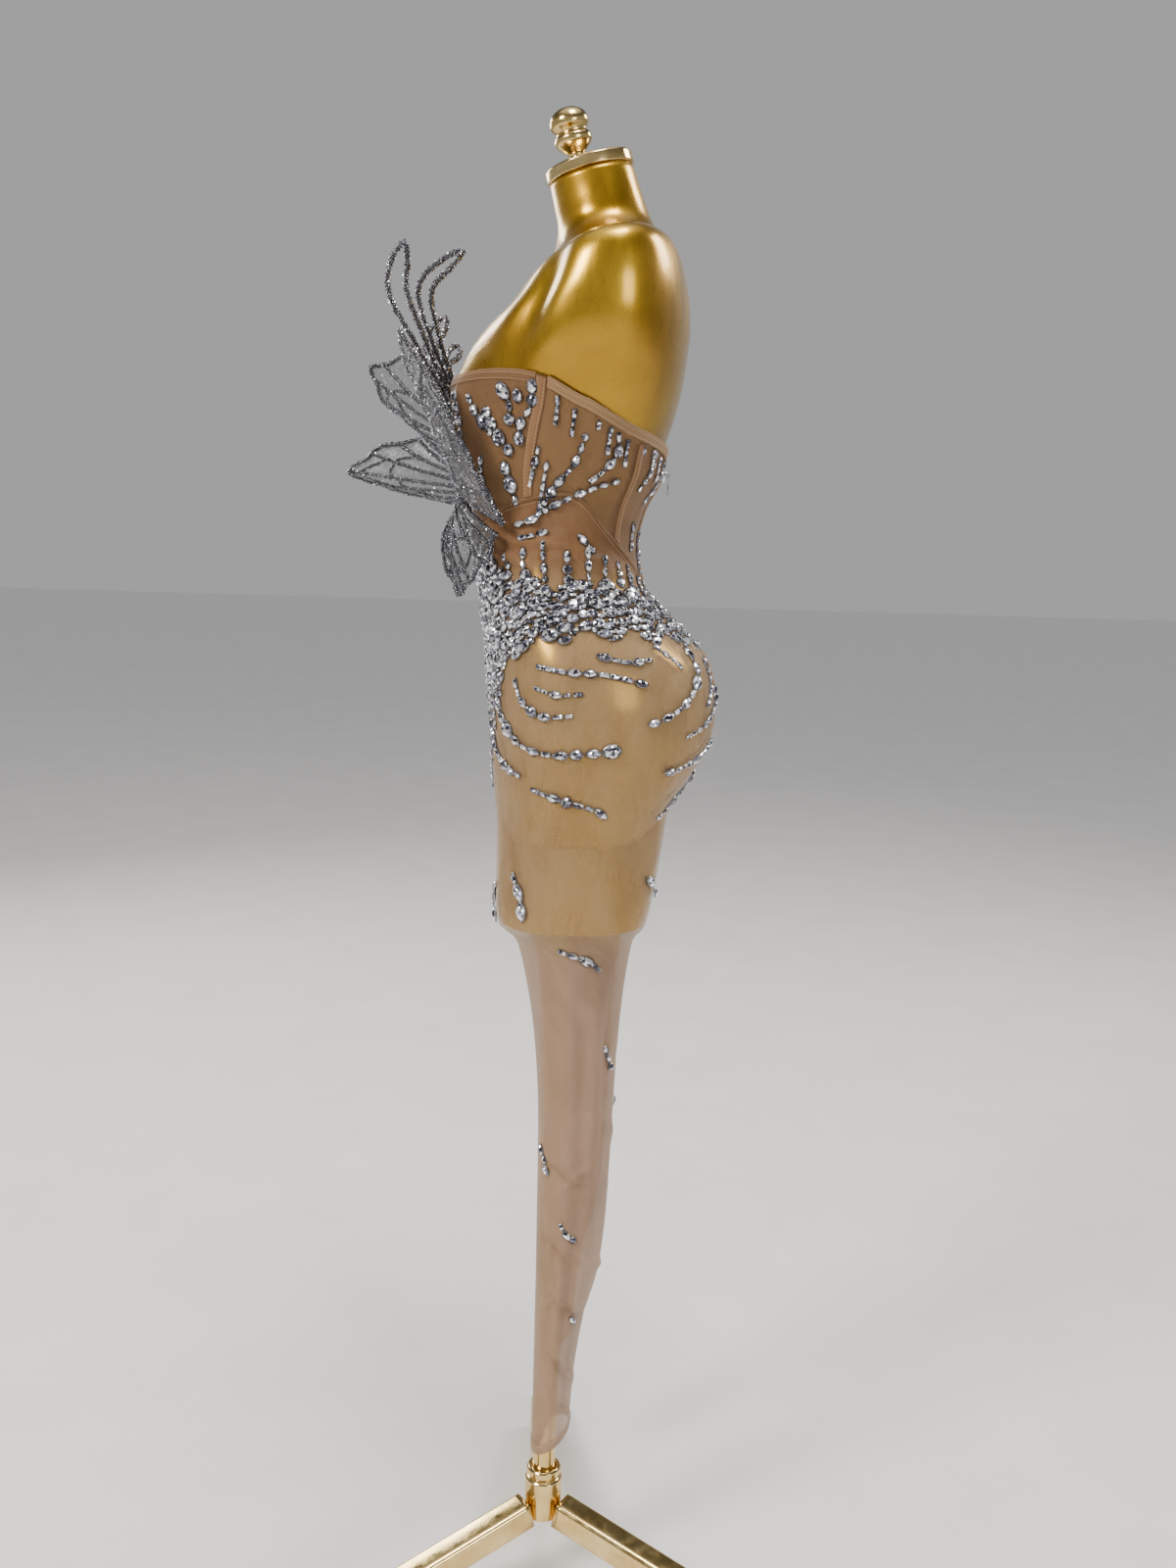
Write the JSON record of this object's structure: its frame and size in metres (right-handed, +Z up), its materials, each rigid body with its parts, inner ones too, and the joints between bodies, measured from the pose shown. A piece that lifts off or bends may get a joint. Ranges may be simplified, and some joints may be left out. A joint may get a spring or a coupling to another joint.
{
  "type": "strapless stage jumpsuit on a limbless dress form with stand",
  "caption": "Strapless jumpsuit of sheer stretch mesh with sewn crystals and a beaded butterfly on its front, worn by a limbless dress form on a pole stand.",
  "frame": {"origin": "on the floor, below the middle of the box round the whole object", "axes": "+Z up along the form; the garment's front faces -Y and the wearer's left side is +X"},
  "size_m": [0.4486, 0.515, 1.5749],
  "materials": {
    "form": "glossy metallic gold paint over a moulded shell",
    "neck_metal": "polished",
    "stand_metal": "polished",
    "foot_rubber": "matt",
    "stretch_mesh": "sheer fine stretch mesh with clear and silver crystals sewn on",
    "channel_tape": "close woven tape, stitched along both edges",
    "elastic_binding": "ribbed stretch binding",
    "zip_tape": "woven tape",
    "zip_metal": "polished",
    "beaded_wire": "wire wound with small silver beads",
    "organza": "thin shimmering organza edged with beaded wire"
  },
  "bodies": {
    "jumpsuit_on_form": {"form_torso": "form", "neck_cap": "neck_metal", "finial": "neck_metal", "pole": "stand_metal", "pole_sleeve": "stand_metal", "hub": "stand_metal", "stand_leg_1": "stand_metal", "stand_leg_2": "stand_metal", "stand_leg_3": "stand_metal", "foot_1": "foot_rubber", "foot_2": "foot_rubber", "foot_3": "foot_rubber", "bodice_front": "stretch_mesh", "bodice_side_left": "stretch_mesh", "bodice_side_right": "stretch_mesh", "bodice_back_left": "stretch_mesh", "bodice_back_right": "stretch_mesh", "lower_left": "stretch_mesh", "lower_right": "stretch_mesh", "channel_front_left": "channel_tape", "channel_front_right": "channel_tape", "channel_back_left": "channel_tape", "channel_back_right": "channel_tape", "binding_left": "elastic_binding", "binding_right": "elastic_binding", "zip_tape_left": "zip_tape", "zip_tape_right": "zip_tape", "zip_slider": "zip_metal", "butterfly_body": "beaded_wire", "feeler_left_outer": "beaded_wire", "feeler_left_inner": "beaded_wire", "feeler_right_outer": "beaded_wire", "feeler_right_inner": "beaded_wire", "wing_upper_left": "organza", "wing_upper_right": "organza", "wing_lower_left": "organza", "wing_lower_right": "organza"},
    "pull_tab": {"zip_pull": "zip_metal"}
  },
  "joints": [
    {"name": "pull_tab_swing", "type": "hinge", "parent": "jumpsuit_on_form", "child": "pull_tab", "pos_m": [-0.02287, 0.10134, 1.21489], "axis": [1, 0, 0], "range_deg": [0, 150]}
  ]
}
